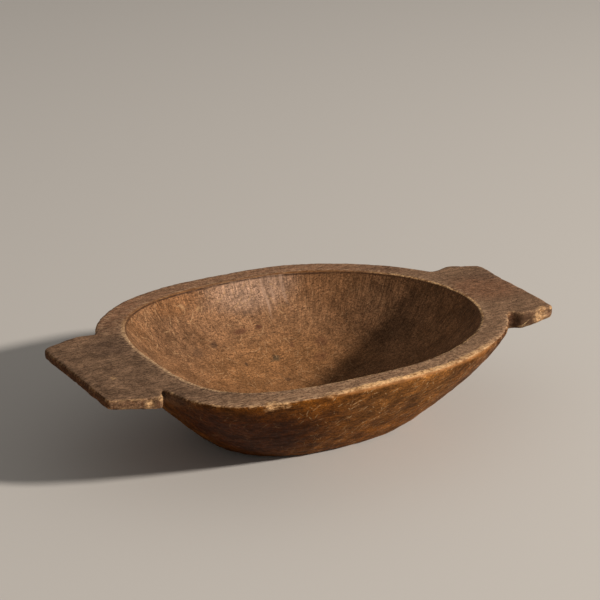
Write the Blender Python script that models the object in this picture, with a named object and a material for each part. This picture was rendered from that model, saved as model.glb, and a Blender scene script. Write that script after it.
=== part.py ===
"""Carved wooden bowl: a wide oval dough bowl with a flat lug handle at each end.

The whole bowl is cut from one block of wood, so it is one solid: an outer block that
flares up from a small flat base, two lugs level with the rim, and a hollow carved out
of the top. +X runs from one lug to the other, -Y is the straighter long side.
"""
import bmesh
import bpy
from math import copysign, cos, exp, hypot, pi, radians, sin

# Driving dimensions, in metres
LENGTH = 0.618
HEIGHT = 0.132
FLOOR_THICKNESS = 0.024

SEGMENTS = 88            # points round each outline, a multiple of four so that all four ends are met
WALL_LEVELS = 8          # outlines between the base and the rim
HOLLOW_LEVELS = 9        # outlines between the rim and the floor of the hollow

WALL_BULGE = 1.28        # above 1 the wall swells outwards low down
HOLLOW_WALL_POWER = 1.15   # how the hollow's wall leans in below the rim
HOLLOW_FLOOR_POWER = 2.5   # how flat the hollow's floor is
HOLLOW_DEEPEST = 0.995   # how far down the lowest outline lies, just short of shrinking to a point
CUTTER_RISE = 0.010      # how far the hollow's cutter stands above the rim

RIM_EDGE = 0.004         # worn round on the outer edge of the rim
BASE_EDGE = 0.005        # worn round on the edge of the base
EDGE_MIDDLE = 0.3        # share of such a round's width at which its middle outline lies
LUG_EDGE = 0.0025        # round on the lugs' top and bottom edges
LUG_EDGE_STEPS = 2
LUG_CORNER_STEPS = 3

FACES_UP_OR_DOWN = 0.9   # upright part of the normal of a lug's top or underside
SAME_PLACE = 0.00001     # points nearer than this are one corner
CREASE = radians(34)     # faces that meet more sharply than this keep a hard edge in shading

# An outline is an oval made of four quarters. Each has its own reach from the centre and
# its own squareness: 2 is a true ellipse, and higher is fuller in the corner. The shoulder
# is a slight swelling where the far side turns in to the left lug.
SHOULDER_ANGLE = radians(158)
SHOULDER_WIDTH = radians(14)
RIM = dict(centre=(0.0027, -0.009), left=0.2492, right=0.2554, near=0.196, far=0.214, shoulder=0.0045,
           square=dict(near_left=3.7, near_right=2.1, far_left=2.7, far_right=2.05))
MOUTH = dict(centre=(0.0027, -0.009), left=0.217, right=0.2195, near=0.167, far=0.1845, shoulder=0.0,
             square=dict(near_left=3.4, near_right=2.05, far_left=2.8, far_right=2.05))
BASE = dict(centre=(0.0062, 0.011), left=0.136, right=0.146, near=0.098, far=0.098, shoulder=0.0,
            square=dict(near_left=2.3, near_right=2.2, far_left=2.3, far_right=2.2))
HOLLOW_FLOOR = dict(MOUTH, centre=(0.0042, 0.001),
                    square=dict(near_left=2.2, near_right=2.0, far_left=2.2, far_right=2.0))

SIDES = ("left", "right", "near", "far")

# Plan corners of each lug, as (x, y, width cut off the corner). The first and last lie inside
# the wall of the bowl, and those with no cut meet the wall.
LUG_ROOT_X = 0.224
LUG_END_X = LENGTH / 2
LEFT_LUG = dict(plan=[(-LUG_ROOT_X, 0.0920, 0), (-0.2393, 0.0940, 0), (-0.2638, 0.0985, 0.010),
                      (-LUG_END_X, 0.0800, 0.007), (-LUG_END_X, -0.0945, 0.004), (-0.2518, -0.1145, 0.004),
                      (-0.2433, -0.0900, 0), (-LUG_ROOT_X, -0.0900, 0)],
                root_thickness=0.0165, end_thickness=0.0115)
RIGHT_LUG = dict(plan=[(LUG_ROOT_X, -0.0945, 0), (0.2382, -0.0945, 0), (0.2467, -0.1055, 0.003),
                       (0.2962, -0.1065, 0.008), (0.3010, -0.0450, 0.008), (0.3045, 0.0130, 0.008),
                       (LUG_END_X, 0.0480, 0.004), (LUG_END_X, 0.0630, 0.006), (0.2692, 0.0830, 0.008),
                       (0.2472, 0.0750, 0), (LUG_ROOT_X, 0.0750, 0)],
                 root_thickness=0.026, end_thickness=0.0125)

WOOD_COLOUR = (0.150, 0.078, 0.036, 1.0)
WOOD_ROUGHNESS = 0.62


def clear_scene():
    for old in list(bpy.data.objects):
        bpy.data.objects.remove(old, do_unlink=True)


def new_collection(name):
    collection = bpy.data.collections.new(name)
    bpy.context.scene.collection.children.link(collection)
    return collection


def wood_material():
    material = bpy.data.materials.new("carved_wood")
    material.use_nodes = True
    shader = material.node_tree.nodes["Principled BSDF"]
    shader.inputs["Base Color"].default_value = WOOD_COLOUR
    shader.inputs["Roughness"].default_value = WOOD_ROUGHNESS
    shader.inputs["Metallic"].default_value = 0.0
    return material


def blend_outlines(low, high, share):
    """The outline that is a given share of the way from low to high."""
    def mix(a, b):
        return a + (b - a) * share

    centre = tuple(mix(a, b) for a, b in zip(low["centre"], high["centre"]))
    square = {corner: mix(low["square"][corner], high["square"][corner]) for corner in low["square"]}
    sizes = {size: mix(low[size], high[size]) for size in (*SIDES, "shoulder")}
    return dict(centre=centre, square=square, **sizes)


def resized(outline, scale=1.0, inset=0.0):
    """The same outline, scaled about its centre and then drawn in by a fixed width."""
    reaches = {side: outline[side] * scale - inset for side in SIDES}
    return dict(outline, **reaches)


def outline_point(outline, angle):
    """The point of an outline at a turning angle: each quarter is a superellipse."""
    across, along = cos(angle), sin(angle)
    side_x = "right" if across >= 0 else "left"
    side_y = "far" if along >= 0 else "near"
    power = 2.0 / outline["square"][side_y + "_" + side_x]
    x = copysign(outline[side_x] * abs(across) ** power, across)
    y = copysign(outline[side_y] * abs(along) ** power, along)
    swelling = outline["shoulder"] * exp(-((angle - SHOULDER_ANGLE) / SHOULDER_WIDTH) ** 2)
    stretch = 1 + swelling / hypot(x, y)
    return outline["centre"][0] + x * stretch, outline["centre"][1] + y * stretch


def loft(levels):
    """A closed bmesh skinned over (height, outline) levels, listed from the bottom up."""
    bm = bmesh.new()
    rings = []
    loops = []
    for height, outline in levels:
        ring = bmesh.ops.create_circle(bm, cap_ends=False, segments=SEGMENTS, radius=1.0)["verts"]
        for index, vert in enumerate(ring):
            angle = 2 * pi * index / SEGMENTS
            vert.co = (*outline_point(outline, angle), height)
        rings.append(ring)
        loops.append(list(dict.fromkeys(edge for vert in ring for edge in vert.link_edges)))
    for lower, upper in zip(loops, loops[1:]):
        bmesh.ops.bridge_loops(bm, edges=lower + upper)
    bm.faces.new(rings[0])
    bm.faces.new(rings[-1])
    bmesh.ops.recalc_face_normals(bm, faces=bm.faces)
    return bm


def add_object(bm, name, collection):
    mesh = bpy.data.meshes.new(name)
    bm.to_mesh(mesh)
    bm.free()
    made = bpy.data.objects.new(name, mesh)
    collection.objects.link(made)
    return made


def hide_tool(tool):
    tool.hide_render = True
    tool.display_type = 'WIRE'


def outer_block():
    """The flaring outside of the bowl, solid, with its top at the rim."""
    levels = [(0.0, resized(BASE, inset=BASE_EDGE))]
    levels.append((BASE_EDGE * EDGE_MIDDLE, resized(BASE, inset=BASE_EDGE * EDGE_MIDDLE)))
    rim_start = HEIGHT - RIM_EDGE
    for step in range(WALL_LEVELS + 1):
        height = BASE_EDGE + (rim_start - BASE_EDGE) * step / WALL_LEVELS
        share = 1 - (1 - height / HEIGHT) ** WALL_BULGE
        levels.append((height, blend_outlines(BASE, RIM, share)))
    levels.append((HEIGHT - RIM_EDGE * EDGE_MIDDLE, resized(RIM, inset=RIM_EDGE * EDGE_MIDDLE)))
    levels.append((HEIGHT, resized(RIM, inset=RIM_EDGE)))
    return loft(levels)


def hollow():
    """The carved inside, as a solid to be cut away."""
    depth_of_floor = HEIGHT - FLOOR_THICKNESS
    levels = []
    for step in range(HOLLOW_LEVELS + 1):
        depth = HOLLOW_DEEPEST * sin(0.5 * pi * step / HOLLOW_LEVELS)
        reach = (1 - depth ** HOLLOW_WALL_POWER) ** (1 / HOLLOW_FLOOR_POWER)
        outline = blend_outlines(MOUTH, HOLLOW_FLOOR, depth)
        levels.append((HEIGHT - depth * depth_of_floor, resized(outline, scale=reach)))
    levels.reverse()
    levels.append((HEIGHT + CUTTER_RISE, MOUTH))
    return loft(levels)


def upright_edge(bm, x, y):
    """The upright edge of a slab that stands at one corner of its plan."""
    def at_corner(vert):
        return hypot(vert.co.x - x, vert.co.y - y) < SAME_PLACE
    return next(edge for edge in bm.edges if all(at_corner(vert) for vert in edge.verts))


def lug(plan, root_thickness, end_thickness):
    """A flat lug, level with the rim and thinner towards its end."""
    bm = bmesh.new()
    top = bm.faces.new([bm.verts.new((x, y, HEIGHT)) for x, y, _ in plan])
    lower = bmesh.ops.extrude_face_region(bm, geom=[top])["geom"]
    for vert in (item for item in lower if isinstance(item, bmesh.types.BMVert)):
        share = (abs(vert.co.x) - LUG_ROOT_X) / (LUG_END_X - LUG_ROOT_X)
        vert.co.z -= root_thickness + (end_thickness - root_thickness) * share
    for x, y, cut in plan:
        if cut:
            bmesh.ops.bevel(bm, geom=[upright_edge(bm, x, y)], affect='EDGES', offset=cut,
                            segments=LUG_CORNER_STEPS, profile=0.5, material=-1)
    bmesh.ops.recalc_face_normals(bm, faces=bm.faces)
    flat = [face for face in bm.faces if abs(face.normal.z) > FACES_UP_OR_DOWN]
    border = list(dict.fromkeys(edge for face in flat for edge in face.edges))
    bmesh.ops.bevel(bm, geom=border, affect='EDGES', offset=LUG_EDGE,
                    segments=LUG_EDGE_STEPS, profile=0.5, material=-1)
    return bm


def join(target, tool, operation):
    modifier = target.modifiers.new(operation.lower() + "_" + tool.name, 'BOOLEAN')
    modifier.operation = operation
    modifier.solver = 'EXACT'
    modifier.object = tool


clear_scene()
parts = new_collection("carved_wooden_bowl")
cutters = new_collection("cutters")

bowl = add_object(outer_block(), "bowl", parts)
bowl.data.materials.append(wood_material())

for name, sizes in (("left_lug", LEFT_LUG), ("right_lug", RIGHT_LUG)):
    tool = add_object(lug(**sizes), name, cutters)
    hide_tool(tool)
    join(bowl, tool, 'UNION')

hollow_tool = add_object(hollow(), "hollow", cutters)
hide_tool(hollow_tool)
join(bowl, hollow_tool, 'DIFFERENCE')

bowl.data.shade_smooth()
bowl.data.set_sharp_from_angle(angle=CREASE)
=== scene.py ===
# %% [markdown]
# # An old carved wooden bowl
# This bowl was cut from one block of wood: the outside was hewn with an adze, the inside was
# scooped out with a gouge, and two flat lugs were left at the ends to lift it by. We build it the
# same way round: a solid block, lugs added, the hollow cut away, and then the years of wear.
# The frame is the plain model that carries sizes and mass. We load it first and build around it.

# %% Load the frame
from math import atan2, copysign, cos, exp, hypot, pi, radians, sin

import bmesh
import bpy
import numpy as np
from mathutils import Matrix, Vector, kdtree


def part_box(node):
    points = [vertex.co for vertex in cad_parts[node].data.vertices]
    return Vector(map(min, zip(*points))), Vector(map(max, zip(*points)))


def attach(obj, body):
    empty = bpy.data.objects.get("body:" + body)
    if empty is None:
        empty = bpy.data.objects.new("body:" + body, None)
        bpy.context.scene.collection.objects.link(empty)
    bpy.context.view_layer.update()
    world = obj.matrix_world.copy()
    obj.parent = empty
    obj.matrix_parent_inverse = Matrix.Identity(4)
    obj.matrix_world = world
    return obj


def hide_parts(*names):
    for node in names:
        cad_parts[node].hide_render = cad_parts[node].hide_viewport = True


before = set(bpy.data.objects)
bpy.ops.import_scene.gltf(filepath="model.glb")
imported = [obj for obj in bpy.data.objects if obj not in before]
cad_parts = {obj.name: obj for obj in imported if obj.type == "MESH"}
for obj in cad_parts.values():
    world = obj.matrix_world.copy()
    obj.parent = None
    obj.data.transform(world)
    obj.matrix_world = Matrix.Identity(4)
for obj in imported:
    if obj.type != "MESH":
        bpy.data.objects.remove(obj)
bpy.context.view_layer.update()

node_low, node_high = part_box("bowl")
LENGTH = node_high.x - node_low.x
HEIGHT = node_high.z - node_low.z

# %% [markdown]
# ## The camera
# A camera is placed by turning it about the bowl, tipping it down and then backing off. Working in
# the camera's own axes keeps this to a few numbers: how far it slides sideways and up, and how far
# back it stands. A long lens from two metres keeps the oval of the rim from looking stretched.

# %% Camera
TURN, TIP, LEAN = radians(-31.55), radians(20.28), radians(0.47)
SLIDE, RISE, DISTANCE = -0.0139, 0.1607, 2.0739
CENTRE_SHIFT = Vector((0.0027, -0.0090, -0.0089))

camera = bpy.data.objects.new("camera", bpy.data.cameras.new("camera"))
bpy.context.scene.collection.objects.link(camera)
look = Matrix.Rotation(TURN, 4, 'Z') @ Matrix.Rotation(pi / 2 - TIP, 4, 'X') @ Matrix.Rotation(LEAN, 4, 'Z')
camera.matrix_world = Matrix.Translation(CENTRE_SHIFT) @ look @ Matrix.Translation((SLIDE, RISE, DISTANCE))
camera.data.lens = 101.1
camera.data.sensor_width = 36.0
bpy.context.scene.camera = camera
print("camera at", [round(value, 3) for value in camera.matrix_world.translation])

# %% [markdown]
# ## The outline of the rim
# Seen from above the bowl is an oval cut by eye: one long side is straighter and one corner is
# fuller. Four quarter ovals meet at the long and short axes. Each quarter has its own reach and its
# own squareness, where 2 gives a true ellipse and a higher number fills the corner. A slight shoulder
# swells where the far side turns in to the left lug. The base is a smaller oval, set a little towards
# the far side, and the wall runs from one to the other.

# %% Outlines
SHOULDER_ANGLE, SHOULDER_WIDTH = radians(158), radians(14)
RIM = dict(centre=(0.0027, -0.009), left=0.2490, right=0.2552, near=0.1958, far=0.2138, shoulder=0.0045,
           square=dict(near_left=3.7, near_right=2.1, far_left=2.7, far_right=2.05))
MOUTH = dict(centre=(0.0027, -0.009), left=0.2160, right=0.2182, near=0.1642, far=0.1837, shoulder=0,
             square=dict(near_left=3.4, near_right=2.05, far_left=2.8, far_right=2.05))
BASE = dict(centre=(0.0062, 0.011), left=0.136, right=0.146, near=0.098, far=0.098, shoulder=0,
            square=dict(near_left=2.3, near_right=2.2, far_left=2.3, far_right=2.2))
FLOOR = dict(MOUTH, centre=(0.0042, 0.001),
             square=dict(near_left=2.2, near_right=2.0, far_left=2.2, far_right=2.0))
SIDES = ("left", "right", "near", "far")


def between(low, high, share):
    """The outline that is a given share of the way from one outline to another."""
    def mix(a, b):
        return a + (b - a) * share
    centre = tuple(mix(a, b) for a, b in zip(low["centre"], high["centre"]))
    square = {corner: mix(low["square"][corner], high["square"][corner]) for corner in low["square"]}
    sizes = {size: mix(low[size], high[size]) for size in (*SIDES, "shoulder")}
    return dict(centre=centre, square=square, **sizes)


def outline_offset(outline, angle):
    """How far the outline lies from its centre, as a vector, at a turning angle."""
    across, along = cos(angle), sin(angle)
    side_x = "right" if across >= 0 else "left"
    side_y = "far" if along >= 0 else "near"
    power = 2 / outline["square"][side_y + "_" + side_x]
    offset = Vector((copysign(outline[side_x] * abs(across) ** power, across),
                     copysign(outline[side_y] * abs(along) ** power, along)))
    swelling = outline["shoulder"] * exp(-((angle - SHOULDER_ANGLE) / SHOULDER_WIDTH) ** 2)
    return offset * (1 + swelling / offset.length)


print("rim", round(RIM["left"] + RIM["right"], 3), "by", round(RIM["near"] + RIM["far"], 3), "m")

# %% [markdown]
# ## The block
# A turner would think of this as a profile swept round an axis, and so do we: `spin` sweeps half a
# cross-section once round, which gives an even net of four-sided faces. The result is a plain round
# block. Each of its points is then pushed out from the circle to the hand-cut oval of its own height.

# %% A profile swept into a solid
SPIN_STEPS = 240
SAME_PLACE = 0.00001         # points nearer than this are one point


def spun_solid(profile):
    """A closed round body from (reach, height) points, with both ends of the profile on the axis."""
    bm = bmesh.new()
    verts = [bm.verts.new((reach, 0, height)) for reach, height in profile]
    edges = [bm.edges.new(pair) for pair in zip(verts, verts[1:])]
    bmesh.ops.spin(bm, geom=verts + edges, cent=(0, 0, 0), axis=(0, 0, 1), dvec=(0, 0, 0),
                   angle=2 * pi, steps=SPIN_STEPS, use_merge=True, use_duplicate=False)
    bmesh.ops.remove_doubles(bm, verts=bm.verts, dist=SAME_PLACE)
    bmesh.ops.recalc_face_normals(bm, faces=bm.faces)
    return bm


def push_to_outline(bm, outline_at, inset_at):
    """Moves each point from the unit circle to the outline of its height, less an inset."""
    for vert in bm.verts:
        share = hypot(vert.co.x, vert.co.y)
        angle = atan2(vert.co.y, vert.co.x)
        outline = outline_at(vert.co.z)
        offset = outline_offset(outline, angle)
        inset = inset_at(vert.co.z, angle)
        vert.co.xy = Vector(outline["centre"]) + offset * share * (1 - inset / offset.length)


def new_piece(bm, name):
    mesh = bpy.data.meshes.new(name)
    bm.to_mesh(mesh)
    bm.free()
    piece = bpy.data.objects.new(name, mesh)
    bpy.context.scene.collection.objects.link(piece)
    return piece


print("swept in", SPIN_STEPS, "steps of", 360 / SPIN_STEPS, "degrees")

# %% The outside, hewn to a flare
WALL_BULGE = 1.28
BASE_ROUND = 0.007
RIM_ROUND = 0.0022          # the crisp arris of the rim, where hands have not worn it
WORN_ROUND = 0.0075         # the near right arris, worn broad and bare
WORN_FROM, WORN_TO = radians(-112), radians(-8)
WORN_RISE, WORN_FALL = 0.45, 0.25   # turns over which it grows broad and dies away, in radians
FOOT, CROWN = 0.012, 0.008          # heights at the base and the rim in which the levels lie closer


def smooth_step(value, low, high):
    share = np.clip((value - low) / (high - low), 0, 1)
    return share * share * (3 - 2 * share)


def arris_round(angle):
    """Radius of the rim's outer edge, broad where it is worn and small elsewhere."""
    rise = smooth_step(angle, WORN_FROM, WORN_FROM + WORN_RISE)
    fall = 1 - smooth_step(angle, WORN_TO - WORN_FALL, WORN_TO)
    return RIM_ROUND + (WORN_ROUND - RIM_ROUND) * rise * fall


def rounded(share, radius):
    """How far a quarter round draws back from its corner, at a share of the way up it."""
    return radius * (1 - (1 - min(max(share, 0.0), 1.0) ** 2) ** 0.5)


def wall_outline(height):
    return between(BASE, RIM, 1 - (1 - min(height / HEIGHT, 1)) ** WALL_BULGE)


def wall_inset(height, angle):
    radius = arris_round(angle)
    at_rim = rounded((height - (HEIGHT - radius)) / radius, radius)
    return at_rim + rounded((BASE_ROUND - height) / BASE_ROUND, BASE_ROUND)


wall_heights = np.concatenate([np.linspace(0, FOOT, 8)[:-1], np.linspace(FOOT, HEIGHT - CROWN, 40)[:-1],
                               np.linspace(HEIGHT - CROWN, HEIGHT, 14)])
wall_profile = [(0, 0), (0.5, 0)] + [(1, height) for height in wall_heights] + [(0.8, HEIGHT), (0, HEIGHT)]
block = spun_solid(wall_profile)
push_to_outline(block, wall_outline, wall_inset)
bowl = new_piece(block, "bowl_block")
print("block", len(bowl.data.polygons), "faces")

# %% [markdown]
# ## The lugs
# Each lug is a flat slab level with the rim, wider near the bowl than at its end, with its corners
# knocked off. Its plan is drawn corner by corner, extruded down, thinned towards the end and then
# bevelled: the upright corners by a lot, and the top and bottom arrises by a little.

# %% Lugs
LUG_ROOT_X = 0.224
LUG_END_X = LENGTH / 2 - 0.0003
FACES_UP_OR_DOWN = 0.9       # upright part of the normal of a lug's top or underside
LEFT_LUG = dict(plan=[(-LUG_ROOT_X, 0.0920, 0), (-0.2393, 0.0940, 0), (-0.2638, 0.0985, 0.010),
                      (-LUG_END_X, 0.0800, 0.007), (-LUG_END_X, -0.0945, 0.004),
                      (-0.2518, -0.1145, 0.004), (-0.2433, -0.0900, 0), (-LUG_ROOT_X, -0.0900, 0)],
                root_thickness=0.0165, end_thickness=0.0115, arris=0.0016)
RIGHT_LUG = dict(plan=[(LUG_ROOT_X, -0.0945, 0), (0.2382, -0.0945, 0), (0.2467, -0.1055, 0.003),
                       (0.2962, -0.1065, 0.008), (0.3010, -0.0450, 0.008), (0.3045, 0.0130, 0.008),
                       (LUG_END_X, 0.0480, 0.004), (LUG_END_X, 0.0630, 0.006), (0.2692, 0.0830, 0.008),
                       (0.2472, 0.0750, 0), (LUG_ROOT_X, 0.0750, 0)],
                 root_thickness=0.026, end_thickness=0.0125, arris=0.0020)


def upright_edge(bm, x, y):
    """The upright edge of a slab that stands at one corner of its plan."""
    def at_corner(vert):
        return hypot(vert.co.x - x, vert.co.y - y) < SAME_PLACE
    return next(edge for edge in bm.edges if all(at_corner(vert) for vert in edge.verts))


def lug(name, plan, root_thickness, end_thickness, arris):
    """A slab from plan corners, each (x, y, width cut off the corner)."""
    bm = bmesh.new()
    top = bm.faces.new([bm.verts.new((x, y, HEIGHT)) for x, y, _ in plan])
    lower = bmesh.ops.extrude_face_region(bm, geom=[top])["geom"]
    for vert in (item for item in lower if isinstance(item, bmesh.types.BMVert)):
        share = (abs(vert.co.x) - LUG_ROOT_X) / (LUG_END_X - LUG_ROOT_X)
        vert.co.z -= root_thickness + (end_thickness - root_thickness) * share
    for x, y, cut in plan:
        if cut:
            bmesh.ops.bevel(bm, geom=[upright_edge(bm, x, y)], affect='EDGES', offset=cut,
                            segments=8, profile=0.5, material=-1)
    bmesh.ops.recalc_face_normals(bm, faces=bm.faces)
    flat = [face for face in bm.faces if abs(face.normal.z) > FACES_UP_OR_DOWN]
    border = list(dict.fromkeys(edge for face in flat for edge in face.edges))
    bmesh.ops.bevel(bm, geom=border, affect='EDGES', offset=arris, segments=4, profile=0.5, material=-1)
    return new_piece(bm, name)


left_lug = lug("left_lug", **LEFT_LUG)
right_lug = lug("right_lug", **RIGHT_LUG)
print("lugs", len(left_lug.data.polygons), "and", len(right_lug.data.polygons), "faces")

# %% [markdown]
# ## The hollow
# The inside is a second swept solid, used as a cutter. Its wall leans in from the rim and then turns
# into a nearly flat floor, as a gouge leaves it. Just below the rim the cutter flares, so that the
# cut leaves a small round on the inner edge where hands and scrapers have rubbed it.

# %% The cutter for the hollow
FLOOR_THICKNESS = 0.024
DEPTH = HEIGHT - FLOOR_THICKNESS
LIP_ROUND = 0.0010
CUTTER_RISE = 0.010
WALL_LEAN, FLOOR_FLATNESS = 1.15, 2.5


def depth_share(height):
    """0 at the rim and 1 at the bottom of the hollow."""
    return min(max((HEIGHT - height) / DEPTH, 0.0), 1.0)


def hollow_reach(height):
    return (1 - depth_share(height) ** WALL_LEAN) ** (1 / FLOOR_FLATNESS)


def mouth_outline(height):
    return between(MOUTH, FLOOR, depth_share(height))


def lip_flare(height, angle):
    return -rounded((height - (HEIGHT - LIP_ROUND)) / LIP_ROUND, LIP_ROUND)


sweep = np.linspace(0, pi / 2, 50)
hollow_heights = [FLOOR_THICKNESS + DEPTH * (1 - sin(turn)) for turn in sweep[::-1]]
hollow_heights += list(np.linspace(HEIGHT - LIP_ROUND, HEIGHT, 5))
hollow_profile = [(hollow_reach(height), height) for height in sorted(hollow_heights)]
hollow_profile += [(1, HEIGHT + CUTTER_RISE), (0, HEIGHT + CUTTER_RISE)]
scoop = spun_solid(hollow_profile)
push_to_outline(scoop, mouth_outline, lip_flare)
cutter = new_piece(scoop, "hollow_cutter")
print("hollow", round(DEPTH, 3), "m deep")

# %% [markdown]
# ## Joining and cutting
# Booleans join the lugs and cut the hollow. Their seams leave long thin faces that will not bend or
# wear well, so a voxel remesh then wraps the whole solid in small even faces, like fresh clay.

# %% One solid with even faces
NET = 0.0017


def boolean(target, tool, operation):
    modifier = target.modifiers.new(tool.name, 'BOOLEAN')
    modifier.operation = operation
    modifier.solver = 'EXACT'
    modifier.object = tool


def settled(piece):
    """The piece's mesh with its modifiers applied."""
    graph = bpy.context.evaluated_depsgraph_get()
    return bpy.data.meshes.new_from_object(piece.evaluated_get(graph))


boolean(bowl, left_lug, 'UNION')
boolean(bowl, right_lug, 'UNION')
boolean(bowl, cutter, 'DIFFERENCE')
remesh = bowl.modifiers.new("even_net", 'REMESH')
remesh.mode = 'VOXEL'
remesh.voxel_size = NET
shaped = settled(bowl)
for tool in (bowl, left_lug, right_lug, cutter):
    bpy.data.objects.remove(tool, do_unlink=True)
print("even net", len(shaped.polygons), "faces")

# %% [markdown]
# ## Working on the surface as a cloud of points
# From here the shape is changed by moving points, not faces, so we take them out as arrays. Three
# small tools are enough. `relaxed` slides each point towards the mean of its neighbours, which is what
# rubbing does to wood. `swell` is a smooth random field made of a few dozen waves, for anything that
# drifts slowly across the bowl. `reach_in` says how far out a point lies within an outline.

# %% Points, normals and neighbours
count = len(shaped.vertices)
points = np.empty(count * 3, np.float32)
shaped.vertices.foreach_get("co", points)
points = points.reshape(-1, 3).astype(float)
links = np.empty(len(shaped.edges) * 2, np.int32)
shaped.edges.foreach_get("vertices", links)
links = links.reshape(-1, 2)
link_count = np.bincount(links.ravel(), minlength=count)


def relaxed(values, rounds, weight=0.5):
    """Values smoothed over the net: weight may be one number or one for each point."""
    values = values.copy()
    weight = np.broadcast_to(weight, (count,))
    for _ in range(rounds):
        for axis in range(values.shape[1]):
            column = values[:, axis]
            total = np.bincount(links[:, 0], column[links[:, 1]], count)
            total += np.bincount(links[:, 1], column[links[:, 0]], count)
            values[:, axis] = column + weight * (total / link_count - column)
    return values


def surface_normals(positions):
    shaped.vertices.foreach_set("co", positions.astype(np.float32).ravel())
    shaped.update()
    normals = np.empty(count * 3, np.float32)
    shaped.vertex_normals.foreach_get("vector", normals)
    return normals.reshape(-1, 3).astype(float)


def swell(positions, wavelength, seed, waves=28):
    """A smooth random height of about -1 to 1 that drifts over the given wavelength."""
    rng = np.random.default_rng(seed)
    directions = rng.normal(size=(waves, 3))
    directions /= np.linalg.norm(directions, axis=1)[:, None]
    pitches = 2 * pi / (wavelength * rng.uniform(0.7, 1.5, waves))
    phases = rng.uniform(0, 2 * pi, waves)
    total = np.zeros(len(positions))
    for direction, pitch, phase in zip(directions, pitches, phases):
        total += np.cos(positions @ direction * pitch + phase)
    return total / (0.5 * waves) ** 0.5 / 1.6


def reach_in(outline, positions):
    """1 on the outline, less inside it and more outside, for each point's plan position."""
    x = positions[:, 0] - outline["centre"][0]
    y = positions[:, 1] - outline["centre"][1]
    square = np.select([(y < 0) & (x < 0), y < 0, x < 0],
                       [outline["square"]["near_left"], outline["square"]["near_right"],
                        outline["square"]["far_left"]], outline["square"]["far_right"])
    across = np.abs(x) / np.where(x < 0, outline["left"], outline["right"])
    along = np.abs(y) / np.where(y < 0, outline["near"], outline["far"])
    return (across ** square + along ** square) ** (1 / square)


points = relaxed(points, rounds=3)
normals = surface_normals(points)
print("points", count)

# %% The zones of the bowl
MOUTH_SHARE = 1.003          # the inside ends a hair beyond the mouth's outline
TOP_SKIN, BASE_SKIN = 0.006, 0.003
FACES_UP, FACES_DOWN = 0.75, -0.7

plan_angle = np.arctan2(points[:, 1] - RIM["centre"][1], points[:, 0] - RIM["centre"][0])
inside = (reach_in(MOUTH, points) < MOUTH_SHARE) & (normals[:, 2] > 0.0)
topside = ~inside & (points[:, 2] > HEIGHT - TOP_SKIN) & (normals[:, 2] > FACES_UP)
underside = (points[:, 2] < BASE_SKIN) & (normals[:, 2] < FACES_DOWN)
outside = ~inside & ~topside & ~underside
for name, zone in (("inside", inside), ("topside", topside), ("underside", underside), ("outside", outside)):
    print(name, zone.sum(), "points")

# %% [markdown]
# ## Hewn by hand
# No face of a hand-cut bowl is true. The outline wanders by a millimetre over a hand's breadth, the
# rim rises and dips, and each blow of the adze or push of the gouge leaves a shallow dish with
# a soft ridge round it. The dishes are laid in rows, as the tool worked round the wall. A dish is the
# distance to the nearest blow, squared: the same curve that a round blade cuts.

# %% Blows of the adze and the gouge
ADZE_ROW, ADZE_GAP, ADZE_RADIUS, ADZE_DEPTH = 0.020, 0.030, 0.30, 0.0006
GOUGE_ROW, GOUGE_GAP, GOUGE_RADIUS, GOUGE_DEPTH = 0.014, 0.026, 0.60, 0.0003


def blows(outline_at, reach_at, heights, spacing, seed):
    """Where the tool struck, in staggered rows round a wall."""
    rng = np.random.default_rng(seed)
    struck = []
    for height in heights:
        outline, reach = outline_at(height), reach_at(height)
        girth = pi * reach * sum(outline[side] for side in SIDES) / 2
        number = max(3, round(girth / spacing))
        start = rng.uniform(0, 2 * pi)
        for index in range(number):
            angle = start + 2 * pi * (index + rng.uniform(-0.3, 0.3)) / number
            offset = outline_offset(outline, atan2(sin(angle), cos(angle))) * reach
            lift = rng.uniform(-0.25, 0.25) * spacing
            struck.append((outline["centre"][0] + offset.x, outline["centre"][1] + offset.y, height + lift))
    return struck


def dished(positions, zone, struck, blade_radius, most):
    """Height over the bottom of the nearest dish, for the points in a zone."""
    tree = kdtree.KDTree(len(struck))
    for index, place in enumerate(struck):
        tree.insert(place, index)
    tree.balance()
    height = np.zeros(len(positions))
    for index in np.flatnonzero(zone):
        distance = tree.find(positions[index])[2]
        height[index] = min(distance ** 2 / (2 * blade_radius), most)
    return height


hewn = outside | underside
outside_rows = np.arange(0.010, HEIGHT, ADZE_ROW)
inside_rows = np.arange(FLOOR_THICKNESS + 0.0005, HEIGHT, GOUGE_ROW)
outside_blows = blows(wall_outline, lambda height: 1, outside_rows, ADZE_GAP, seed=11)
inside_blows = blows(mouth_outline, hollow_reach, inside_rows, GOUGE_GAP, seed=12)
dish = dished(points, hewn, outside_blows, ADZE_RADIUS, ADZE_DEPTH)
dish += dished(points, inside, inside_blows, GOUGE_RADIUS, GOUGE_DEPTH)
carved = points + normals * (dish - ADZE_DEPTH * hewn - GOUGE_DEPTH * inside)[:, None]
print("blows outside", len(outside_blows), "inside", len(inside_blows))

# %% The wander of a hand-cut shape
SIDEWAYS, UP_AND_DOWN, LUMPS, RIPPLES = 0.0008, 0.0003, 0.00022, 0.00010

off_base = smooth_step(points[:, 2], 0.004, 0.060)      # the base itself stays flat
sideways = np.stack([swell(points, 0.13, seed=21), swell(points, 0.12, seed=22)], axis=1)
carved[:, :2] += SIDEWAYS * sideways * off_base[:, None]
carved[:, 2] += UP_AND_DOWN * swell(points * (1, 1, 0), 0.16, seed=23) * off_base
uneven = LUMPS * swell(points, 0.022, seed=24) + RIPPLES * swell(points, 0.008, seed=25)
carved += normals * uneven[:, None]
print("moved by at most", round(float(np.linalg.norm(carved - points, axis=1).max()) * 1000, 2), "mm")

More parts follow.
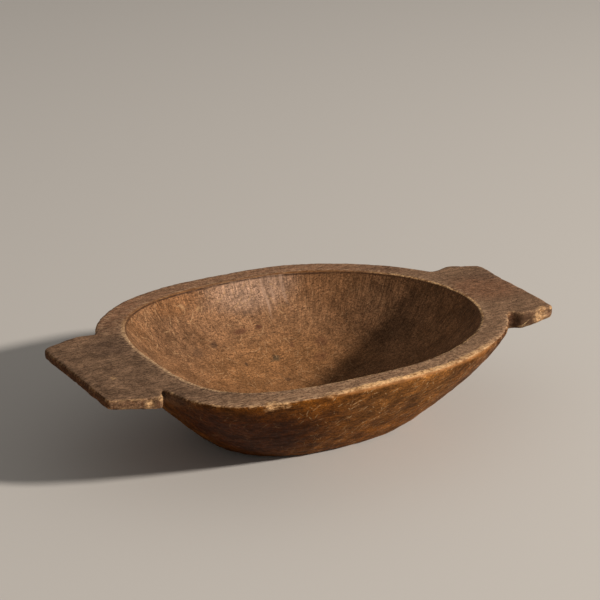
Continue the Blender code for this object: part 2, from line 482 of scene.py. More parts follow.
# %% [markdown]
# ## Knocks
# A kitchen bowl is knocked against tables and troughs. Small dents are scattered over the faces, and
# nicks are bitten out of the arrises, which are found as the points that bulge most. Each knock
# presses the points within its radius inwards, deepest in the middle. A few old chips are listed one
# by one: three side by side on the near rim and one further right, and one on each lug.

# %% Dents and nicks
def bulge(positions, facing, rounds):
    """How far each point stands proud of its surroundings: high on arrises, negative in corners."""
    return ((positions - relaxed(positions, rounds)) * facing).sum(axis=1)


def knock(positions, facing, centres, radii, depths):
    tree = kdtree.KDTree(len(positions))
    for index, place in enumerate(positions):
        tree.insert(place, index)
    tree.balance()
    pressed = positions.copy()
    for centre, radius, depth in zip(centres, radii, depths):
        for _, index, distance in tree.find_range(centre, radius):
            pressed[index] -= facing[index] * depth * (1 - (distance / radius) ** 2) ** 2
    return pressed


NICKS, DENTS = 110, 150
ARRIS_BULGE, FACE_BULGE = 0.0006, 0.0003

rng = np.random.default_rng(31)
proud = bulge(carved, normals, rounds=10)
arris_points = np.flatnonzero(proud > ARRIS_BULGE)
face_points = np.flatnonzero(proud < FACE_BULGE)
nicked = rng.choice(arris_points, NICKS, replace=False)
dented = rng.choice(face_points, DENTS, replace=False)
centres = carved[np.concatenate([nicked, dented])]
radii = np.concatenate([rng.uniform(0.0020, 0.0055, NICKS), rng.uniform(0.0025, 0.0055, DENTS)])
depths = np.concatenate([rng.uniform(0.0001, 0.0007, NICKS), rng.uniform(0.0001, 0.0004, DENTS)])
carved = knock(carved, normals, centres, radii, depths)

CHIPS = [((-0.168, -0.187, 0.131), 0.007, 0.0012), ((-0.159, -0.192, 0.130), 0.009, 0.0018),
         ((-0.150, -0.194, 0.129), 0.006, 0.0010), ((-0.266, -0.112, 0.128), 0.008, 0.0013),
         ((0.283, -0.106, 0.130), 0.007, 0.0012), ((0.166, -0.160, 0.129), 0.008, 0.0010)]
carved = knock(carved, normals, *zip(*CHIPS))
print("nicks, dents and chips", len(centres) + len(CHIPS))

# %% Years of handling
# Rubbing takes most off what stands most proud, so the weight follows the bulge.
LEAST_RUB, MOST_RUB, RUB_PER_BULGE = 0.10, 0.6, 260

rub = RUB_PER_BULGE * np.clip(proud, 0, None) * (0.7 + 0.5 * swell(points, 0.05, seed=32))
rub = np.clip(LEAST_RUB + rub, 0, MOST_RUB)
carved = relaxed(carved, rounds=5, weight=rub)
normals = surface_normals(carved)
print("rubbed most by", round(float(rub.max()), 2))

# %% Fill the plain model's box and no more
# The rim dips and rises, so the height is fitted to where most of the top lies, and peaks are cut.
SNUG = 0.9995
MOST_OF_THE_TOP = 80         # percent of the top's points that lie no higher

middle = (np.array(node_low) + np.array(node_high)) / 2
middle[2] = 0
room = np.array([LENGTH / 2, (node_high.y - node_low.y) / 2, HEIGHT]) * SNUG
widest = np.abs(carved - middle).max(axis=0)
widest[2] = np.percentile(carved[topside, 2], MOST_OF_THE_TOP)
carved = middle + (carved - middle) * room / widest
carved[:, 2] = np.clip(carved[:, 2], 0, room[2])
print("stretched by", (room / widest).round(4))

# %% [markdown]
# ## Measures for the finish
# Colour on old wood follows use: hands lighten the arrises, the inside is scraped clean and the
# outside goes dark, and painted shade darkens the corners. So we measure where each point of the
# wood is, and keep the numbers on the mesh as attributes, which the material can read. Distances run
# smoothly across an edge, negative on the flat top and positive down the wall, so that a line drawn
# with them stays crisp even when the net of faces is coarse.

# %% Attributes on the mesh
MEAN_REACH = 0.23            # turns a turning angle into metres round the bowl
BARE_BULGE, CORNER_BULGE = 0.0010, 0.0008

depth = HEIGHT - carved[:, 2]
from_mouth = np.hypot(*(carved[:, :2] - MOUTH["centre"]).T) * (1 - 1 / reach_in(MOUTH, carved))
from_rim = np.hypot(*(carved[:, :2] - RIM["centre"]).T) * (1 / reach_in(RIM, carved) - 1)
proud = bulge(carved, normals, rounds=14)
measures = {
    "hollow": relaxed(inside[:, None].astype(float), 2)[:, 0],
    "flat_top": relaxed(topside[:, None].astype(float), 2)[:, 0],
    "lip": depth - from_mouth,
    "edge": 2 * depth - from_rim,
    "girth": np.abs(plan_angle) * MEAN_REACH,
    "wear": np.clip(proud / BARE_BULGE, 0, 1),
    # concave corners, which the material darkens as painted shade
    "corner_shade": np.clip(-proud / CORNER_BULGE, 0, 1),
}
for name, values in measures.items():
    shaped.attributes.new(name, 'FLOAT', 'POINT').data.foreach_set("value", values.astype(np.float32))
    print(name, "from", round(float(values.min()), 3), "to", round(float(values.max()), 3))

# %% [markdown]
# ## The finished mesh
# The fine net has far more faces than the flat parts need. Decimate takes away edges where the
# surface is nearly flat and keeps them along the arrises, and it carries the attributes with it.

# %% One piece under the face limit
MOST_TRIANGLES = 190000

shaped.vertices.foreach_set("co", carved.astype(np.float32).ravel())
shaped.update()
fine = bpy.data.objects.new("fine_bowl", shaped)
bpy.context.scene.collection.objects.link(fine)
decimate = fine.modifiers.new("fewer_faces", 'DECIMATE')
decimate.ratio = MOST_TRIANGLES / (2 * len(shaped.polygons))
carved_mesh = settled(fine)
carved_mesh.name = "carved_bowl"
carved_mesh.shade_smooth()
bpy.data.objects.remove(fine, do_unlink=True)
carved_bowl = bpy.data.objects.new("carved_bowl", carved_mesh)
bpy.context.scene.collection.objects.link(carved_bowl)
print("carved bowl", len(carved_mesh.polygons), "faces")

# %% [markdown]
# ## The wood
# The material is built from layers, like the bowl's own history: the bare wood with its grain, the
# colour each side has taken, then wear, scratches, stains and dirt on top. It reads Object
# coordinates, which are metres on the bowl, and the attributes we measured. First come a few helpers,
# so that each later layer is one short line.

# %% Helpers for the nodes
wood = bpy.data.materials.new("carved_wood")
wood.use_nodes = True
tree = wood.node_tree
shader = tree.nodes["Principled BSDF"]
place = tree.nodes.new("ShaderNodeTexCoord").outputs["Object"]


def feed(socket, source):
    """Links a socket to another node's output, or sets it to a plain value."""
    if isinstance(source, bpy.types.NodeSocket):
        tree.links.new(source, socket)
    else:
        socket.default_value = source


def math(operation, *sources):
    made = tree.nodes.new("ShaderNodeMath")
    made.operation = operation
    for socket, source in zip(made.inputs, sources):
        feed(socket, source)
    return made.outputs[0]


def times(value, *others):
    """Several values multiplied together."""
    for other in others:
        value = math('MULTIPLY', value, other)
    return value


def vector(operation, *sources, result="Vector"):
    made = tree.nodes.new("ShaderNodeVectorMath")
    made.operation = operation
    for socket, source in zip(made.inputs, sources):
        feed(socket, source)
    return made.outputs[result]


def ramp(value, low, high, at_low=0.0, at_high=1.0):
    """A smooth step: at_low where the value is below low, at_high where it is above high."""
    made = tree.nodes.new("ShaderNodeMapRange")
    made.interpolation_type = 'SMOOTHSTEP'
    sources = {"Value": value, "From Min": low, "From Max": high, "To Min": at_low, "To Max": at_high}
    for name, source in sources.items():
        feed(made.inputs[name], source)
    return made.outputs["Result"]


def blend(factor, under, over, way='MIX'):
    """Two colours laid over each other by a factor."""
    made = tree.nodes.new("ShaderNodeMix")
    made.data_type = 'RGBA'
    made.blend_type = way
    sockets = {socket.identifier: socket for socket in made.inputs}
    feed(sockets["Factor_Float"], factor)
    feed(sockets["A_Color"], under)
    feed(sockets["B_Color"], over)
    return next(socket for socket in made.outputs if socket.identifier == "Result_Color")


def noise(coordinates, size, detail=3.0, roughness=0.55):
    """Cloudy noise of about 0.5 whose largest clouds are of the given size, in metres."""
    made = tree.nodes.new("ShaderNodeTexNoise")
    feed(made.inputs["Vector"], coordinates)
    feed(made.inputs["Scale"], 1 / size)
    feed(made.inputs["Detail"], detail)
    feed(made.inputs["Roughness"], roughness)
    return made.outputs["Fac"]


def measure(name):
    made = tree.nodes.new("ShaderNodeAttribute")
    made.attribute_name = name
    return made.outputs["Fac"]


def shaded(colour, value, least, most):
    """A colour made darker or lighter by a noise."""
    return blend(1.0, colour, ramp(value, 0.36, 0.64, least, most), 'MULTIPLY')


def mottled(colour, layers):
    """A colour shaded by several noises in turn, each given with its least and most."""
    for value, least, most in layers:
        colour = shaded(colour, value, least, most)
    return colour


# %% Where on the bowl
hollow = ramp(measure("hollow"), 0.3, 0.7)
flat_top = ramp(measure("flat_top"), 0.3, 0.7)
lip, edge, girth = measure("lip"), measure("edge"), measure("girth")
wear, corner_shade = measure("wear"), measure("corner_shade")
split = tree.nodes.new("ShaderNodeSeparateXYZ")
feed(split.inputs[0], place)
along, across = split.outputs[0], split.outputs[1]
outer = math('SUBTRACT', 1.0, hollow)
print("places and measures", len(tree.nodes), "nodes")

# %% [markdown]
# ## The bare wood
# Wood is a bundle of long fibres. Sawn along them it shows streaks, cut across it shows dots, and
# both come from one noise that is stretched along the fibres: the block lay with its grain along X.
# Clouds of several sizes, down to grit and sand, add the uneven colour of a plank, and noises cut off
# at a threshold add the dark pores and specks.

# %% Grain, clouds and pores
grain = noise(vector('MULTIPLY', place, (0.06, 1, 1)), 0.0034, detail=4)
fibre = noise(vector('MULTIPLY', place, (0.12, 1, 1)), 0.0014, detail=2)
patches = noise(place, 0.090, detail=3)
clouds = noise(place, 0.022, detail=5, roughness=0.65)
flecks = noise(vector('MULTIPLY', place, (0.5, 1, 1)), 0.0050, detail=4, roughness=0.7)
grit = noise(vector('MULTIPLY', place, (0.6, 1, 1)), 0.0024, detail=2, roughness=0.6)
sand = noise(vector('MULTIPLY', place, (0.7, 1, 1)), 0.0013, detail=1)
pores = noise(vector('MULTIPLY', place, (0.30, 1, 1)), 0.0021, detail=2)
pore_marks = times(ramp(pores, 0.60, 0.67), ramp(clouds, 0.42, 0.60, 0.25, 1.0))
specks = noise(vector('MULTIPLY', place, (0.75, 1, 1)), 0.0030, detail=3, roughness=0.65)
speck_marks = times(ramp(specks, 0.595, 0.655), ramp(clouds, 0.38, 0.58, 0.35, 1.0))
pale_marks = times(ramp(specks, 0.345, 0.405, 1.0, 0.0), ramp(clouds, 0.40, 0.60, 1.0, 0.35))
print("with grain, clouds and pores", len(tree.nodes), "nodes")

# %% [markdown]
# ## Marks of the gouge
# The gouge was pushed down the wall from the rim, and it left fine furrows that run the same way.
# A noise in the wall's own coordinates does this: distance round the bowl and distance down from
# the lip. Round the bowl it changes quickly and down the wall slowly. It fades out towards the
# middle of the floor, where furrows from all sides would meet.

# %% Furrows down the wall
def wall_place(down):
    made = tree.nodes.new("ShaderNodeCombineXYZ")
    feed(made.inputs[0], girth)
    feed(made.inputs[1], down)
    return made.outputs[0]


furrows = noise(vector('MULTIPLY', wall_place(lip), (1, 0.07, 1)), 0.0026, detail=3)
furrow_share = ramp(lip, 0.06, 0.14, 1.0, 0.0)
print("with furrows", len(tree.nodes), "nodes")

# %% [markdown]
# ## Scratches
# Knives and scrapers leave short bright lines. A Voronoi net gives one random point to each cell, so
# each cell can hold one scratch: we take the way from the point, turn it by the cell's own random
# angle, bend it a little, and keep what lies close to the line. Only some of the cells are used.
# On the floor the scratches curl every way. On the outer wall most of them lean the same way.

# %% One scratch in a cell
def scratches(coordinates, cell, length, width, share, turn_from=0.0, turn_to=pi, bend=0.0):
    net = tree.nodes.new("ShaderNodeTexVoronoi")
    net.voronoi_dimensions = '2D'
    feed(net.inputs["Vector"], coordinates)
    feed(net.inputs["Scale"], 1 / cell)
    chance = tree.nodes.new("ShaderNodeSeparateXYZ")
    feed(chance.inputs[0], net.outputs["Color"])
    turned = tree.nodes.new("ShaderNodeVectorRotate")
    turned.rotation_type = 'Z_AXIS'
    feed(turned.inputs["Vector"], vector('SUBTRACT', coordinates, net.outputs["Position"]))
    feed(turned.inputs["Angle"], math('MULTIPLY_ADD', chance.outputs[0], turn_to - turn_from, turn_from))
    way = tree.nodes.new("ShaderNodeSeparateXYZ")
    feed(way.inputs[0], turned.outputs[0])
    forward = math('ABSOLUTE', way.outputs[0])
    aside = math('ABSOLUTE', math('MULTIPLY_ADD', math('MULTIPLY', forward, forward), bend, way.outputs[1]))
    body = ramp(aside, width * 0.2, width * 0.6, 1.0, 0.0)
    ends = ramp(forward, length * 0.25, length * 0.5, 1.0, 0.0)
    used = math('LESS_THAN', chance.outputs[1], share)
    return times(body, ends, used)


ASIDE = (0.3, 0.1, 0)          # moves a second net off the first

shifted = vector('ADD', place, ASIDE)
floor_scratches = math('MAXIMUM', scratches(place, 0.013, 0.013, 0.0013, share=0.6, bend=35),
                       scratches(shifted, 0.023, 0.022, 0.0013, share=0.6, bend=18))
floor_scratches = times(floor_scratches, ramp(along, 0.04, 0.13, 1.0, 0.3))
wall = wall_place(edge)
leaning = scratches(wall, 0.019, 0.018, 0.0016, share=0.6, turn_from=1.7, turn_to=2.9, bend=7)
crossing = scratches(vector('ADD', wall, ASIDE), 0.0105, 0.0095, 0.0013, share=0.5, bend=9)
used_side = ramp(math('SUBTRACT', along, across), -0.02, 0.16, 0.15, 1.0)
wall_scratches = times(math('MAXIMUM', leaning, crossing), ramp(clouds, 0.40, 0.56, 0.1, 1.0), used_side)
print("with scratches", len(tree.nodes), "nodes")

# %% [markdown]
# ## Stains
# Years of dough, water and standing pots left their own marks inside: pale streaks below the back
# rim, partly real and partly painted sheen, a pale patch of painted sheen high on the far wall, an
# orange patch, dark round spots and small reddish dashes. A soft dark patch of painted shade lies at
# the bottom of the lamp's shadow, and another darkens the shaded right end. The top and the outside
# have a few broad soft ones, and painted shade darkens the near left of the outside. They are listed
# one by one. Each has a tone, a place in metres, a radius, a strength and a length along the grain,
# and a noise makes its outline ragged.

# %% Helpers for stains and streaks
RAGGED, RAGGED_CLOUD = 0.009, 0.008     # how far an outline strays, and over what distance

cloudy = tree.nodes.new("ShaderNodeTexNoise")
feed(cloudy.inputs["Vector"], place)
feed(cloudy.inputs["Scale"], 1 / RAGGED_CLOUD)
feed(cloudy.inputs["Detail"], 3.0)
ragged = vector('MULTIPLY_ADD', cloudy.outputs["Color"], (RAGGED, RAGGED, RAGGED), place)
ragged = vector('SUBTRACT', ragged, (RAGGED / 2, RAGGED / 2, RAGGED / 2))


def near(centre, radius, strength, longer=1.0):
    """The strength at a place, falling to nothing at a ragged outline round it."""
    away = vector('MULTIPLY', vector('SUBTRACT', ragged, centre), (1 / longer, 1, 1))
    return ramp(vector('LENGTH', away, result="Value"), radius * 0.35, radius, strength, 0.0)


def stained(colour, stains):
    """A colour with stains laid on it, each a tone, a centre, a radius, a strength and a length."""
    for tone, centre, radius, strength, longer in stains:
        colour = blend(near(centre, radius, strength, longer), colour, (*tone, 1))
    return colour


def streaked(colour, streaks):
    """A colour with streaks running down the far wall from the lip."""
    for tone, x, width, reach, strength in streaks:
        wobble = math('MULTIPLY_ADD', noise(place, 0.03), 0.012, x - 0.006)
        aside = math('ABSOLUTE', math('SUBTRACT', along, wobble))
        across_it = ramp(aside, width * 0.2, width * 0.6, strength, 0.0)
        down_it = times(ramp(lip, reach * 0.4, reach, 1.0, 0.0), ramp(across, 0.05, 0.10))
        streak = times(across_it, down_it, ramp(furrows, 0.35, 0.6, 0.3, 1.0))
        colour = blend(streak, colour, (*tone, 1))
    return colour


PALE, TAN, AMBER = (0.37, 0.225, 0.148), (0.4, 0.22, 0.1), (0.225, 0.1, 0.036)
ORANGE, REDDISH = (0.235, 0.1, 0.036), (0.095, 0.034, 0.018)
SOOT_AND_SHADE, MOSSY = (0.05, 0.028, 0.017), (0.055, 0.044, 0.026)
SOFT_STAINS_SHADE_AND_SHEEN = [(AMBER, (0.01, 0.06, 0.034), 0.11, 0.7, 1.3),
               # painted sheen: a pale patch high on the far wall
               (PALE, (0.02, 0.172, 0.12), 0.045, 0.65, 1.9),
               (ORANGE, (-0.1, 0.165, 0.122), 0.026, 0.5, 2.4),
               (SOOT_AND_SHADE, (-0.12, 0.126, 0.088), 0.045, 0.3, 1.3),
               (SOOT_AND_SHADE, (-0.19, 0.05, 0.09), 0.06, 0.28, 1),
               # darker at the right end of the hollow, which lies in the lamp's shadow
               (SOOT_AND_SHADE, (0.16, 0.08, 0.08), 0.075, 0.36, 1),
               # painted shade at the bottom of the lamp's shadow in the hollow
               (SOOT_AND_SHADE, (0.085, 0.028, 0.032), 0.055, 0.3, 1)]
SPOTS = [(SOOT_AND_SHADE, (-0.058, 0.129, 0.069), 0.0085, 0.7, 1), (MOSSY, (0.017, 0.102, 0.045), 0.007, 0.75, 1.2),
         (MOSSY, (0.01, 0.098, 0.043), 0.004, 0.6, 1), (REDDISH, (-0.014, 0.139, 0.075), 0.0045, 0.65, 3.5),
         (REDDISH, (0.013, 0.14, 0.075), 0.004, 0.85, 1.8), (SOOT_AND_SHADE, (-0.086, 0.117, 0.068), 0.01, 0.45, 1.5),
         (SOOT_AND_SHADE, (-0.026, 0.101, 0.045), 0.0045, 0.75, 1), (REDDISH, (0.047, 0.111, 0.054), 0.007, 0.55, 0.7),
         (REDDISH, (0.083, 0.098, 0.056), 0.011, 0.5, 1), (REDDISH, (0.072, 0.081, 0.043), 0.009, 0.4, 1.6),
         (SOOT_AND_SHADE, (0.013, 0.064, 0.03), 0.005, 0.6, 1), (TAN, (-0.085, 0.162, 0.114), 0.006, 0.75, 0.7),
         (TAN, (-0.062, 0.162, 0.108), 0.005, 0.6, 1.2), (SOOT_AND_SHADE, (0.005, 0.154, 0.092), 0.0055, 0.45, 2)]
# The pale streaks are partly real marks and partly painted sheen on the far wall.
STREAKS = [(PALE, 0.036, 0.0045, 0.095, 0.9), (SOOT_AND_SHADE, 0.041, 0.003, 0.08, 0.4),
           (PALE, 0.047, 0.005, 0.06, 0.7), (PALE, 0.063, 0.0055, 0.075, 0.8),
           (SOOT_AND_SHADE, 0.07, 0.003, 0.06, 0.4), (PALE, -0.01, 0.004, 0.045, 0.5)]
TOP_STAINS = [((0.175, 0.074, 0.036), (0.258, -0.01, 0.131), 0.06, 0.6, 1.1),
              ((0.082, 0.044, 0.027), (0.286, 0.03, 0.131), 0.03, 0.55, 1.2),
              ((0.08, 0.044, 0.028), (-0.232, 0.046, 0.131), 0.036, 0.5, 1.2),
              ((0.09, 0.042, 0.024), (0.205, 0.125, 0.131), 0.04, 0.5, 1.3)]
OUTSIDE_STAINS_AND_SHADE = [((0.19, 0.084, 0.026), (0.02, -0.185, 0.105), 0.085, 0.45, 1.6),
                  ((0.078, 0.035, 0.0175), (0.195, -0.115, 0.085), 0.14, 0.7, 1),
                  ((0.225, 0.082, 0.015), (-0.055, -0.135, 0.045), 0.075, 0.65, 1.2),
                  # Painted shade: the near left wall, turned away from the lamp, is darkened to a deep
                  # red-brown.
                  ((0.046, 0.0095, 0.0003), (-0.165, -0.13, 0.06), 0.13, 0.92, 1.2)]
for name, marks in (("soft stains", SOFT_STAINS_SHADE_AND_SHEEN), ("spots", SPOTS), ("streaks", STREAKS),
                    ("stains on top", TOP_STAINS), ("stains outside", OUTSIDE_STAINS_AND_SHADE)):
    print(name, len(marks))

# %% [markdown]
# ## Three colours of age
# The inside was scraped and washed for years, so it is a warm middle brown. The flat top is greyer
# from handling and flour, and is streaked along the grain. The outside was only ever oiled and
# smoked, and is dark and reddish. Each side is a pair of tones mixed by the broad noises, then
# mottled by the finer ones. Soft stains, among them patches of painted shade and painted sheen, go
# on before the fine detail, and small marks after it.

# %% The inside
INSIDE_DARK, INSIDE_LIGHT = (0.165, 0.076, 0.032, 1), (0.205, 0.100, 0.046, 1)
INSIDE_SPECK, INSIDE_PALE = (0.070, 0.028, 0.012, 1), (0.340, 0.190, 0.095, 1)
INSIDE_SCRATCH = (0.380, 0.215, 0.105, 1)

inside_tone = stained(blend(ramp(patches, 0.35, 0.65), INSIDE_DARK, INSIDE_LIGHT), SOFT_STAINS_SHADE_AND_SHEEN)
inside_tone = mottled(inside_tone, ((clouds, 0.78, 1.18), (flecks, 0.88, 1.14), (grit, 0.84, 1.18),
                                    (sand, 0.70, 1.32)))
inside_tone = blend(times(speck_marks, 0.62), inside_tone, INSIDE_SPECK)
inside_tone = blend(times(pale_marks, 0.42), inside_tone, INSIDE_PALE)
inside_tone = blend(furrow_share, inside_tone, shaded(inside_tone, furrows, 0.78, 1.24))
inside_tone = streaked(stained(inside_tone, SPOTS), STREAKS)
inside_tone = blend(times(floor_scratches, ramp(grit, 0.42, 0.60, 0.15, 0.80)), inside_tone, INSIDE_SCRATCH)
print("with the inside", len(tree.nodes), "nodes")

# %% The flat top
TOP_DARK, TOP_LIGHT = (0.104, 0.058, 0.033, 1), (0.190, 0.108, 0.062, 1)
TOP_FAR, TOP_PALER = (0.225, 0.100, 0.050, 1), (0.270, 0.150, 0.082, 1)
TOP_SPECK, TOP_FLOURED = (0.050, 0.026, 0.014, 1), (0.410, 0.250, 0.142, 1)

top_tone = blend(ramp(clouds, 0.36, 0.62), TOP_DARK, TOP_LIGHT)
top_tone = blend(times(ramp(across, 0.06, 0.16), 0.6), top_tone, TOP_FAR)
# The top is made paler towards the right end and along the near rim.
lighter = math('MAXIMUM', ramp(along, -0.20, -0.10, 0.0, 0.28), ramp(across, -0.19, -0.13, 0.60, 0.0))
top_tone = stained(blend(lighter, top_tone, TOP_PALER), TOP_STAINS)
top_tone = mottled(top_tone, ((flecks, 0.88, 1.14), (grain, 0.82, 1.16), (fibre, 0.82, 1.18),
                              (sand, 0.66, 1.38)))
top_tone = blend(times(speck_marks, 0.45), top_tone, TOP_SPECK)
off_lugs = ramp(math('ABSOLUTE', along), 0.220, 0.236, 1.0, 0.0)
near_rim_edge = times(ramp(edge, -0.018, -0.004), ramp(edge, 0.000, 0.006, 1.0, 0.0), off_lugs)
near_edges = math('MAXIMUM', ramp(lip, -0.018, -0.003), near_rim_edge)
floured = ramp(across, -0.19, -0.13, 0.46, 0.14)
long_flecks = noise(vector('MULTIPLY', place, (0.38, 1, 1)), 0.0023, detail=2, roughness=0.6)
worn_flecks = times(ramp(long_flecks, 0.51, 0.59), math('MULTIPLY_ADD', near_edges, 0.55, floured))
top_tone = blend(worn_flecks, top_tone, TOP_FLOURED)
print("with the top", len(tree.nodes), "nodes")

# %% The outside
OUTSIDE_DARK, OUTSIDE_LIGHT = (0.110, 0.034, 0.0040, 1), (0.185, 0.063, 0.0085, 1)
OUTSIDE_SPECK = (0.040, 0.011, 0.0020, 1)

outside_tone = stained(blend(ramp(patches, 0.38, 0.62), OUTSIDE_DARK, OUTSIDE_LIGHT), OUTSIDE_STAINS_AND_SHADE)
outside_tone = mottled(outside_tone, ((clouds, 0.62, 1.30), (flecks, 0.72, 1.26), (grain, 0.84, 1.14),
                                      (sand, 0.68, 1.34)))
outside_tone = blend(times(speck_marks, 0.55), outside_tone, OUTSIDE_SPECK)
print("with the outside", len(tree.nodes), "nodes")

# %% The sides of the lugs
# They take the colour of the top, with painted shade darkening the end faces, fine upright cuts and
# one painted shadow where the right lug leaves the rim.
LUG_END, CUT = (0.66, 0.47, 0.30, 1), (0.075, 0.028, 0.012, 1)
LUG_ROOT_SHADE = ((0.060, 0.030, 0.016), (0.252, -0.106, 0.116), 0.022, 0.75, 1.0)

lug_sides = ramp(math('ABSOLUTE', along), 0.222, 0.246, 0.0, 0.85)
outside_tone = blend(lug_sides, outside_tone, shaded(top_tone, grain, 0.62, 1.00))
# Painted shade: both lug end faces are darkened, as the left one faces away from the lamp.
lug_end_shade = ramp(math('ABSOLUTE', along), 0.3050, 0.3080)
outside_tone = blend(lug_end_shade, outside_tone, LUG_END, 'MULTIPLY')
upright_cuts = noise(vector('MULTIPLY', place, (1, 1, 0.12)), 0.0034, detail=2)
upright_cuts = ramp(upright_cuts, 0.54, 0.62, 0.0, 0.65)
outside_tone = blend(times(lug_sides, upright_cuts), outside_tone, CUT)
# Painted shadow in the corner under the right lug's root.
outside_tone = stained(outside_tone, [LUG_ROOT_SHADE])
print("with the lugs", len(tree.nodes), "nodes")

# %% Sides joined
OUTSIDE_SCRATCH, PORE = (0.520, 0.335, 0.165, 1), (0.030, 0.014, 0.008, 1)

outside_tone = blend(times(wall_scratches, ramp(grit, 0.40, 0.60, 0.25, 0.95)), outside_tone, OUTSIDE_SCRATCH)
tone = blend(flat_top, outside_tone, top_tone)
tone = blend(times(hollow, ramp(lip, -0.0010, 0.0012)), tone, inside_tone)
tone = blend(times(pore_marks, 0.55), tone, PORE)
print("with the sides joined", len(tree.nodes), "nodes")

# %% [markdown]
# ## Wear and painted shade
# Every arris is rubbed to bare tan wood, in patches rather than in a ruled line, so the measure of
# bulge is broken up with noise before it is used. The near right edge, where the bowl was held
# against the body, has a broad bright band, brown and ragged below, whose brightest middle is a
# painted highlight on the worn wood. The inner lip has a thin one, with a thin dark line just below
# it. Painted shade darkens the concave corners, such as where the lugs leave the wall.

# %% Worn arrises
BARE, BARE_LIGHT = (0.290, 0.135, 0.048, 1), (0.600, 0.360, 0.175, 1)

bare = blend(ramp(flecks, 0.38, 0.58), BARE, BARE_LIGHT)
bare = shaded(shaded(bare, grit, 0.80, 1.15), sand, 0.76, 1.20)
rubbed = ramp(math('MULTIPLY_ADD', math('SUBTRACT', flecks, 0.5), 1.6, wear), 0.55, 1.10)
rubbed = times(rubbed, ramp(clouds, 0.38, 0.60, 0.15, 0.85), ramp(along, -0.270, -0.240, 0.5, 1.0))
tone = blend(rubbed, tone, bare)
print("with worn arrises", len(tree.nodes), "nodes")

# %% The rubbed lip
LIP_LEFT, LIP_FAR, UNDER_LIP_DARK = (0.420, 0.265, 0.158, 1), (0.170, 0.075, 0.028, 1), (0.045, 0.020, 0.010, 1)

broader = math('ADD', lip, ramp(along, -0.215, -0.150, 0.0016, 0.0))
far_side = ramp(across, 0.07, 0.14)
lip_line = times(ramp(broader, -0.0040, -0.0018), ramp(lip, 0.0004, 0.0016, 1.0, 0.0),
                 ramp(edge, -0.012, -0.008, 1.0, 0.0), ramp(flecks, 0.36, 0.52, 0.35, 1.0),
                 math('MULTIPLY_ADD', far_side, -0.35, 1.0))
lip_tone = blend(ramp(along, -0.215, -0.170, 0.55, 0.0), bare, LIP_LEFT)
lip_tone = mottled(lip_tone, ((sand, 0.62, 1.25), (fibre, 0.75, 1.15)))
tone = blend(lip_line, tone, blend(far_side, lip_tone, LIP_FAR))
# A thin dark line just below the lip, strongest on the far side.
under_lip = times(ramp(lip, 0.0006, 0.0020), ramp(lip, 0.0030, 0.0060, 0.90, 0.0),
                  ramp(across, 0.02, 0.12, 0.2, 1.0), ramp(clouds, 0.35, 0.55, 0.4, 1.0))
tone = blend(under_lip, tone, UNDER_LIP_DARK)
print("with the lip", len(tree.nodes), "nodes")

# %% The broad worn band
BAND_FROM, BAND_TO = -0.0095, 0.0100
BAND_START, BAND_END, BAND_FADE = radians(-122), radians(-38), 0.30
BAND_BROWN, BAND_WORN_HIGHLIGHT = (0.275, 0.115, 0.036, 1), (0.780, 0.460, 0.215, 1)

# Painted highlight: the brightest middle of the worn band, where light catches the rounded arris.
highlit_core = times(ramp(along, -0.135, -0.080), ramp(along, 0.015, 0.085, 1.0, 0.15),
                  ramp(edge, -0.0045, 0.0025, 1.0, 0.0), ramp(grit, 0.42, 0.60, 0.0, 0.80))
band_tone = blend(ramp(edge, -0.0030, 0.0045), bare, shaded(BAND_BROWN, flecks, 0.70, 1.25))
band_tone = blend(highlit_core, band_tone, BAND_WORN_HIGHLIGHT)
turn = math('ARCTAN2', math('SUBTRACT', across, RIM["centre"][1]), math('SUBTRACT', along, RIM["centre"][0]))
in_band = times(ramp(turn, BAND_START, BAND_START + BAND_FADE),
                ramp(turn, BAND_END - BAND_FADE, BAND_END, 1.0, 0.0))
ragged_edge = math('MULTIPLY_ADD', math('SUBTRACT', flecks, 0.5), 0.014, edge)
band = times(ramp(ragged_edge, BAND_FROM, BAND_FROM + 0.002),
             ramp(ragged_edge, BAND_TO - 0.006, BAND_TO, 1.0, 0.0), in_band,
             ramp(clouds, 0.30, 0.46, 0.6, 1.0), ramp(along, 0.03, 0.16, 1.0, 0.62), outer)
tone = blend(band, tone, band_tone)
print("with the band", len(tree.nodes), "nodes")

# %% Spots worn bare
# Each is a centre, a radius, a strength and a length, like a stain in the colour of bare wood.
BARE_SPOTS = [((-0.161, -0.190, 0.130), 0.0095, 0.90, 1.4), ((-0.145, -0.195, 0.129), 0.0060, 0.80, 1.3),
              ((-0.2665, -0.110, 0.125), 0.0065, 0.85, 1.2), ((0.273, -0.107, 0.122), 0.0120, 0.75, 1.1),
              ((0.2790, -0.104, 0.129), 0.0080, 0.65, 1.2), ((-0.276, -0.040, 0.131), 0.0060, 0.45, 1.0)]

for spot in BARE_SPOTS:
    tone = blend(times(near(*spot), ramp(grit, 0.40, 0.56, 0.45, 1.0)), tone, bare)
print("bare spots", len(BARE_SPOTS))

# %% Painted shade in the corners
CORNER_SHADE = (0.028, 0.012, 0.006, 1)

# Painted shade: the concave corners are darkened.
tone = blend(times(ramp(corner_shade, 0.15, 0.9), 0.7), tone, CORNER_SHADE)
feed(shader.inputs["Base Color"], tone)
print("with dirt", len(tree.nodes), "nodes")

# %% [markdown]
# ## Sheen and touch
# Oiled, handled wood has a soft uneven gloss: smoother where it is rubbed and inside, rougher where
# it is porous. The bump adds what is too fine for the mesh: grain, pores, furrows and scratches,
# all in millimetres, so that their depths can be compared.

# %% Roughness and bump
MILLIMETRE = 0.001

gloss = ramp(flecks, 0.30, 0.70, 0.70, 0.54)
gloss = math('SUBTRACT', gloss, times(math('MAXIMUM', hollow, rubbed), 0.08))
feed(shader.inputs["Roughness"], math('ADD', gloss, times(pore_marks, 0.15)))
shader.inputs["Specular IOR Level"].default_value = 0.04

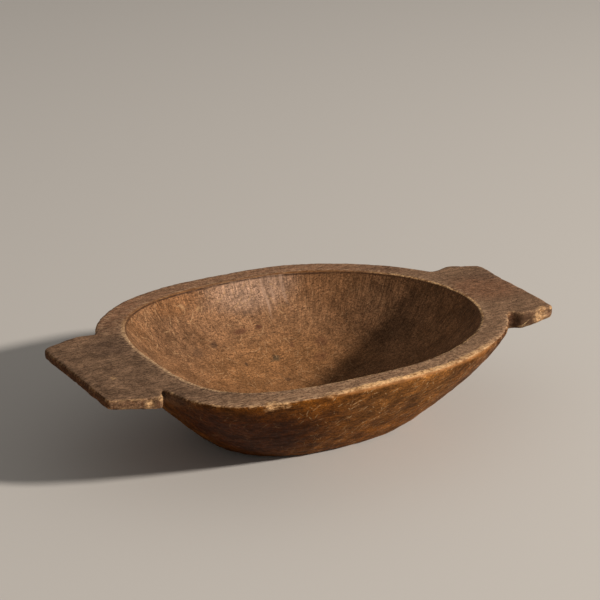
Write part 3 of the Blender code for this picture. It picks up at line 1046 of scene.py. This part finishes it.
relief = times(grain, 0.13)
for height, share in ((fibre, 0.06), (flecks, 0.18), (speck_marks, -0.16),
                      (times(furrows, furrow_share, hollow), 0.24), (pore_marks, -0.25),
                      (times(floor_scratches, hollow), -0.10), (times(wall_scratches, outer), -0.15)):
    relief = math('MULTIPLY_ADD', height, share, relief)
bump = tree.nodes.new("ShaderNodeBump")
bump.inputs["Distance"].default_value = MILLIMETRE
feed(bump.inputs["Height"], relief)
feed(shader.inputs["Normal"], bump.outputs["Normal"])
carved_mesh.materials.clear()
carved_mesh.materials.append(wood)
print("wood", len(tree.nodes), "nodes")

# %% [markdown]
# ## The studio
# A wide pale floor, one low lamp from the near right and an even pale sky. The lamp is small and far
# off, so that the near wall throws a clear shadow across the hollow, and the sky fills that shadow
# just enough to show the wood in it.

# %% Floor
FLOOR_SIZE = 60.0
FLOOR_PAINT = (0.56, 0.52, 0.475, 1)

bm = bmesh.new()
bmesh.ops.create_grid(bm, x_segments=1, y_segments=1, size=FLOOR_SIZE / 2)
floor = new_piece(bm, "floor")
paint = bpy.data.materials.new("floor_paint")
paint.use_nodes = True
coat = paint.node_tree.nodes["Principled BSDF"]
coat.inputs["Base Color"].default_value = FLOOR_PAINT
coat.inputs["Roughness"].default_value = 0.9
floor.data.materials.append(paint)
print("floor", FLOOR_SIZE, "m across")

# %% Lamp and sky
LAMP_AROUND, LAMP_UP, LAMP_AWAY = radians(-50), radians(26.6), 8.0

lamp = bpy.data.lights.new("lamp", 'AREA')
lamp.shape = 'DISK'
lamp.size = 0.55
lamp.energy = 860
lamp.color = (1.0, 0.95, 0.89)
lamp_object = bpy.data.objects.new("lamp", lamp)
bpy.context.scene.collection.objects.link(lamp_object)
towards = Vector((cos(LAMP_AROUND) * cos(LAMP_UP), sin(LAMP_AROUND) * cos(LAMP_UP), sin(LAMP_UP)))
lamp_object.location = towards * LAMP_AWAY
lamp_object.rotation_euler = towards.to_track_quat('Z', 'Y').to_euler()

sky = bpy.data.worlds.new("sky")
sky.use_nodes = True
sky.node_tree.nodes["Background"].inputs["Color"].default_value = (1.0, 0.985, 0.96, 1)
sky.node_tree.nodes["Background"].inputs["Strength"].default_value = 0.28
bpy.context.scene.world = sky
bpy.context.scene.view_settings.view_transform = 'Standard'
print("lamp at", [round(value, 2) for value in lamp_object.location])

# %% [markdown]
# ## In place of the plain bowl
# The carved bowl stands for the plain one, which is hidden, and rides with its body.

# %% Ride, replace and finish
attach(carved_bowl, "root")
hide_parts("bowl")
